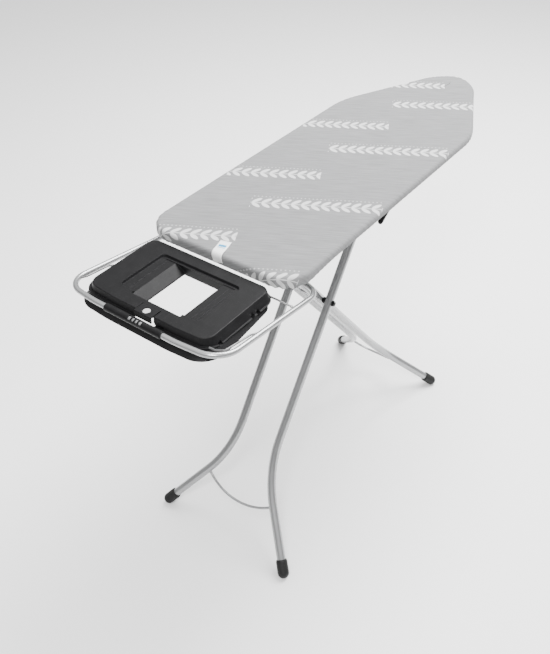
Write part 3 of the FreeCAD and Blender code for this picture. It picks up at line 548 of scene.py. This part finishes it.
def moulded(name, color, roughness, size, depth, edge, dust, specular):
    """Matt moulded plastic or rubber: grain, softened edges with a painted highlight (paler
    colour), dust and uneven gloss.
    """
    made, tree, shader = material(name, color, roughness)
    shader.inputs["Specular IOR Level"].default_value = specular
    soft = placed(tree, edge_group, Radius=edge)
    skin = placed(tree, grain_group, Size=size, Depth=depth, Normal=soft["Normal"])
    dusty = placed(tree, dust_group, Amount=dust)["Mask"]
    body = blend_color(tree, skin["Mask"], shade(color, 0.8), shade(color, 1.35))
    # Painted highlight: the softened edges' mask lightens the colour fourfold along every edge.
    edge_highlight = blend_color(tree, soft["Mask"], body, shade(color, 4.0))
    coated = blend_color(tree, dusty, edge_highlight, (0.30, 0.29, 0.28, 1))
    tree.links.new(coated, shader.inputs["Base Color"])
    tree.links.new(skin["Normal"], shader.inputs["Normal"])
    gloss = node(tree, "MapRange", {"Value": skin["Mask"], "To Min": roughness - 0.07,
                                    "To Max": roughness + 0.09}).outputs[0]
    tree.links.new(math_node(tree, "MAXIMUM", gloss, dusty), shader.inputs["Roughness"])
    return made


def metal(name, color, roughness, metallic, flecks, depth):
    """Lacquered, coated or plated steel: flecks in the lacquer, slow patches of gloss, faint rub
    marks, and edges made paler as a painted highlight."""
    made, tree, shader = material(name, color, roughness, metallic)
    place = node(tree, "TexCoord").outputs["Object"]
    fine = node(tree, "TexNoise", {"Vector": place, "Scale": flecks, "Detail": 2.0}).outputs["Fac"]
    slow = node(tree, "TexNoise", {"Vector": place, "Scale": 26.0, "Detail": 5.0}).outputs["Fac"]
    soft = placed(tree, edge_group, Radius=METAL_EDGE)
    rub = placed(tree, dust_group, Amount=0.12)["Mask"]
    body = blend_color(tree, slow, shade(color, 0.93), shade(color, 1.04))
    flecked = blend_color(tree, math_node(tree, "MULTIPLY", fine, 0.2), body, shade(color, 0.9))
    # Painted highlight: the softened edges' mask makes the colour paler along every edge.
    edge_highlight = blend_color(tree, soft["Mask"], flecked, shade(color, 1.15))
    tree.links.new(blend_color(tree, rub, edge_highlight, shade(color, 0.72)), shader.inputs["Base Color"])
    gloss = node(tree, "MapRange", {"Value": slow, "To Min": roughness - 0.05,
                                    "To Max": roughness + 0.07}).outputs[0]
    rubbed = math_node(tree, "MULTIPLY_ADD", rub, 0.25, gloss)
    tree.links.new(rubbed, shader.inputs["Roughness"])
    bump = node(tree, "Bump", {"Strength": depth, "Distance": 0.00003, "Height": fine})
    tree.links.new(bump.outputs[0], shader.inputs["Normal"])
    return made


METAL_EDGE = 0.0005
PRINT_SLANT = math.radians(-62)
PRINT_REPEAT = 0.350
PRINT_ROWS = (((-0.179, -0.076), 0.165), ((-0.106, 0.110), 0.125))


def make_weave_group():
    """Plain weave: crossed threads that pass over and under, thick and thin along their length."""
    tree, inputs, outputs = group("plain weave",
                                  [("Vector", "Vector", (0, 0, 0)), ("Thread", "Float", 0.0011)],
                                  [("Height", "Float"), ("Slub", "Float")])
    turns = math_node(tree, "DIVIDE", math.pi, inputs["Thread"])
    scaled = node(tree, "VectorMath", {0: inputs["Vector"], 3: turns}, operation="SCALE").outputs[0]
    parts = node(tree, "SeparateXYZ", {0: scaled}).outputs
    warp = math_node(tree, "ABSOLUTE", math_node(tree, "SINE", parts[0]))
    weft = math_node(tree, "ABSOLUTE", math_node(tree, "SINE", parts[1]))
    over = math_node(tree, "MULTIPLY", math_node(tree, "SINE", parts[0]),
                     math_node(tree, "SINE", parts[1]))
    side = node(tree, "MapRange", {"Value": over, "From Min": -0.4, "From Max": 0.4}).outputs[0]
    height = node(tree, "Mix", {"Factor": side, "A": warp, "B": weft},
                  data_type="FLOAT").outputs["Result"]
    long = node(tree, "Mapping", {"Vector": inputs["Vector"], "Scale": (13, 210, 1)}).outputs[0]
    slub = node(tree, "TexNoise", {"Vector": long, "Scale": 1.0, "Detail": 4.0, "Roughness": 0.65})
    raised = math_node(tree, "MULTIPLY_ADD", slub.outputs["Fac"], 0.8, height)
    tree.links.new(raised, outputs["Height"])
    tree.links.new(slub.outputs["Fac"], outputs["Slub"])
    return tree


def printed_cotton(name, color, ink):
    """The cover's cloth: a slanted plain weave with slubs, and pale leaf strips printed on it."""
    made, tree, shader = material(name, color, 0.86)
    shader.inputs["Sheen Weight"].default_value = 0.12
    shader.inputs["Sheen Roughness"].default_value = 0.45
    shader.inputs["Specular IOR Level"].default_value = 0.2
    flat = node(tree, "UVMap", uv_map="cloth").outputs[0]
    turned = node(tree, "Mapping", {"Vector": flat, "Rotation": (0, 0, -PRINT_SLANT)}).outputs[0]
    weave = placed(tree, weave_group, Vector=turned, Thread=0.0011)
    masks = []
    for (x, y), reach in PRINT_ROWS:
        parts = node(tree, "SeparateXYZ", {0: flat}).outputs
        half = PRINT_REPEAT / 2
        inside = math_node(tree, "WRAP", math_node(tree, "SUBTRACT", parts[0], x), half, -half)
        beside = math_node(tree, "SUBTRACT", parts[1], y)
        local = node(tree, "CombineXYZ", {0: inside, 1: beside}).outputs[0]
        row = node(tree, "Mapping", {"Vector": local, "Rotation": (0, 0, -PRINT_SLANT)}).outputs[0]
        masks.append(placed(tree, strip_group, Vector=row, Reach=reach)["Mask"])
    slub = node(tree, "MapRange", {"Value": weave["Slub"], "From Min": 0.34,
                                   "From Max": 0.66}).outputs[0]
    body = blend_color(tree, slub, shade(color, 0.82), shade(color, 1.18))
    blotch = node(tree, "TexNoise", {"Vector": flat, "Scale": 14.0, "Detail": 4.0}).outputs["Fac"]
    uneven = blend_color(tree, math_node(tree, "MULTIPLY", blotch, 0.3), body, shade(color, 0.86))
    threads = node(tree, "MapRange", {"Value": weave["Height"], "To Min": 0.75,
                                      "To Max": 1.0}).outputs[0]
    drawn = math_node(tree, "MULTIPLY", math_node(tree, "MAXIMUM", *masks), threads)
    tree.links.new(blend_color(tree, drawn, uneven, (*ink, 1)), shader.inputs["Base Color"])
    bump = node(tree, "Bump", {"Strength": 0.35, "Distance": 0.0002, "Height": weave["Height"]})
    tree.links.new(bump.outputs[0], shader.inputs["Normal"])
    return made


def label_tape(name):
    """White satin tape with two thin woven bars and a stitched end."""
    made, tree, shader = material(name, (0.82, 0.82, 0.82), 0.5)
    flat = node(tree, "UVMap", uv_map="cloth").outputs[0]
    weave = placed(tree, weave_group, Vector=flat, Thread=0.0005)
    parts = node(tree, "SeparateXYZ", {0: flat}).outputs
    bars = []
    for spot, half in ((-0.032, 0.0042), (-0.0245, 0.0010), (-0.0495, 0.0004)):
        gap = math_node(tree, "ABSOLUTE", math_node(tree, "SUBTRACT", parts[1], spot))
        bars.append(node(tree, "MapRange", {"Value": gap, "From Min": half + 0.0002,
                                            "From Max": half}).outputs[0])
    middle = math_node(tree, "LESS_THAN", math_node(tree, "ABSOLUTE", parts[0]), 0.0095)
    ink = math_node(tree, "MULTIPLY", math_node(tree, "MAXIMUM", bars[0], bars[1]), middle)
    cloth = blend_color(tree, weave["Slub"], (0.74, 0.74, 0.73, 1), (0.86, 0.86, 0.86, 1))
    striped = blend_color(tree, ink, cloth, (0.02, 0.22, 0.42, 1))
    stitched = blend_color(tree, bars[2], striped, (0.45, 0.45, 0.45, 1))
    tree.links.new(stitched, shader.inputs["Base Color"])
    bump = node(tree, "Bump", {"Strength": 0.3, "Distance": 0.0001, "Height": weave["Height"]})
    tree.links.new(bump.outputs[0], shader.inputs["Normal"])
    return made


def felt(name, color):
    """Pressed felt: tangled fibres in the height and in the colour."""
    made, tree, shader = material(name, color, 0.95)
    place = node(tree, "TexCoord").outputs["Object"]
    bent = node(tree, "TexNoise", {"Vector": place, "Scale": 160.0, "Detail": 4.0}).outputs["Color"]
    tangled = node(tree, "VectorMath", {0: bent, 1: (0.02, 0.02, 0.02), 2: place},
                   operation="MULTIPLY_ADD").outputs[0]
    fibres = node(tree, "TexNoise", {"Vector": tangled, "Scale": 700.0,
                                     "Detail": 5.0}).outputs["Fac"]
    body = blend_color(tree, fibres, shade(color, 0.75), shade(color, 1.2))
    tree.links.new(body, shader.inputs["Base Color"])
    bump = node(tree, "Bump", {"Strength": 0.6, "Distance": 0.0004, "Height": fibres})
    tree.links.new(bump.outputs[0], shader.inputs["Normal"])
    return made


cover = make_cover()
label = make_label()
pad = make_pad()
expanded = make_expanded_mesh()
beads = [
    make_beads("near_brace_welds", "near_frame",
               [(frame_spot(-74, 54, 145.2, y), frame_way(54, 0.68, y / 112.6), BRACE_RADIUS)
                for y in (112.6, -112.6)]),
    make_beads("far_brace_welds", "far_frame",
               [(frame_spot(860, 128, 133.6, y), frame_way(128, 0.91, 0.41 * y / 89.7),
                 BRACE_RADIUS)
                for y in (89.7, -89.7)]),
    make_beads("rear_wire_welds", "deck",
               [((BLUNT - 2.6 * MM, y, TOP - 55.2 * MM), (8, 33 * way, -9.4), REAR_WIRE_RADIUS)
                for y, way in ((0.2158, 1), (-0.2208, -1))]),
]

grain_group = make_grain_group()
edge_group = make_edge_group()
dust_group = make_dust_group()
strip_group = make_strip_group()
weave_group = make_weave_group()

# Painted dark reflection: the plain steel holder wires get a near-black colour in place of the dark
# surroundings they mirror.
wire_painted_dark = metal("drawn wire", (0.14, 0.14, 0.142), 0.3, 0.6, 900.0, 0.05)
FINISHES = {
    "silver_tube": metal("satin silver lacquer", (0.33, 0.333, 0.337), 0.22, 0.65, 1500.0, 0.05),
    "pin_steel": metal("zinc plated steel", (0.45, 0.45, 0.46), 0.30, 0.95, 900.0, 0.15),
    "bracket_steel": metal("grey coated brackets", (0.30, 0.305, 0.31), 0.42, 0.5, 1100.0, 0.30),
    "deck_steel": metal("grey coated deck steel", (0.36, 0.365, 0.37), 0.45, 0.35, 1100.0, 0.30),
    "black_plastic": moulded("black moulded plastic", (0.006, 0.006, 0.0064), 0.42, 1100.0, 0.20,
                             0.0009, 0.05, 0.11),
    "grey_plastic": moulded("pale grey plastic", (0.42, 0.42, 0.42), 0.4, 1100.0, 0.12, 0.0006,
                            0.1, 0.4),
    "rubber": moulded("black rubber", (0.006, 0.006, 0.006), 0.55, 600.0, 0.35, 0.0009, 0.10, 0.25),
    "cover": printed_cotton("grey printed cotton", (0.18, 0.1815, 0.184), (0.52, 0.52, 0.52)),
    "pad": felt("pale felt", (0.62, 0.61, 0.58)),
}
for row in frame["record"]["subparts"]:
    use(FINISHES[row["material_slot"]], row["node"])
for tag in ("rear", "left", "right"):
    use(wire_painted_dark, "holder_wire_" + tag)
use(FINISHES["cover"], cover)
use(label_tape("white label tape"), label)
use(FINISHES["pad"], pad)
use(FINISHES["deck_steel"], expanded)
for bead in beads:
    use(FINISHES["silver_tube"], bead)


# ------------------------------------------------------------------ stage, light and camera

def make_floor():
    """A plain pale floor."""
    span = 40.0
    x, y = np.meshgrid(np.linspace(-span, span, 2), np.linspace(-span, span, 2))
    grid = np.stack([x, y, np.full_like(x, -0.0005)], axis=-1)
    floor = surface("floor", grid)
    made, _, _ = material("pale floor", (0.93, 0.93, 0.93), 0.7)
    floor.data.materials.append(made)


def lamp(name, place, aim, size, watts):
    """A square soft light that faces a point."""
    data = bpy.data.lights.new(name, "AREA")
    data.size = size
    data.energy = watts
    made = bpy.data.objects.new(name, data)
    made.location = place
    made.rotation_mode = "QUATERNION"
    made.rotation_quaternion = (Vector(aim) - Vector(place)).to_track_quat("-Z", "Y")
    bpy.context.scene.collection.objects.link(made)


def make_camera():
    """The camera stands behind the blunt end's right corner and looks down at the board."""
    heading, tilt, roll = 0.6667, 0.647, -0.037
    forward = Vector((math.cos(heading) * math.cos(tilt), math.sin(heading) * math.cos(tilt),
                      -math.sin(tilt)))
    side = forward.cross(Vector((0, 0, 1))).normalized()
    up = side.cross(forward)
    turned = side * math.cos(roll) + up * math.sin(roll)
    upright = up * math.cos(roll) - side * math.sin(roll)
    matrix = Matrix((turned, upright, -forward)).transposed().to_4x4()
    matrix.translation = (-1.5383, -1.0210, 2.0039)
    data = bpy.data.cameras.new("camera")
    data.lens = 42.73
    data.shift_x, data.shift_y = -0.00642, -0.0659
    camera = bpy.data.objects.new("camera", data)
    camera.matrix_world = matrix
    bpy.context.scene.collection.objects.link(camera)
    bpy.context.scene.camera = camera


def make_world():
    """Soft studio surroundings: bright overhead, greyer towards the walls, with no edges."""
    world = bpy.data.worlds.new("studio")
    world.use_nodes = True
    tree = world.node_tree
    height = node(tree, "SeparateXYZ", {0: node(tree, "TexCoord").outputs["Generated"]}).outputs[2]
    rise = node(tree, "MapRange", {"Value": height, "From Min": 0.05, "From Max": 0.9,
                                   "To Min": 0.10, "To Max": 1.0}, interpolation_type="SMOOTHSTEP")
    tree.links.new(rise.outputs[0], tree.nodes["Background"].inputs[0])
    tree.nodes["Background"].inputs[1].default_value = 1.5
    bpy.context.scene.world = world


make_floor()
lamp("overhead light", (1.75, -0.2, 3.7), (0.5, 0, 0.7), 2.6, 480)
lamp("front light", (-2.3, -1.2, 3.7), (-0.3, 0, 0.5), 0.9, 130)
make_world()
make_camera()
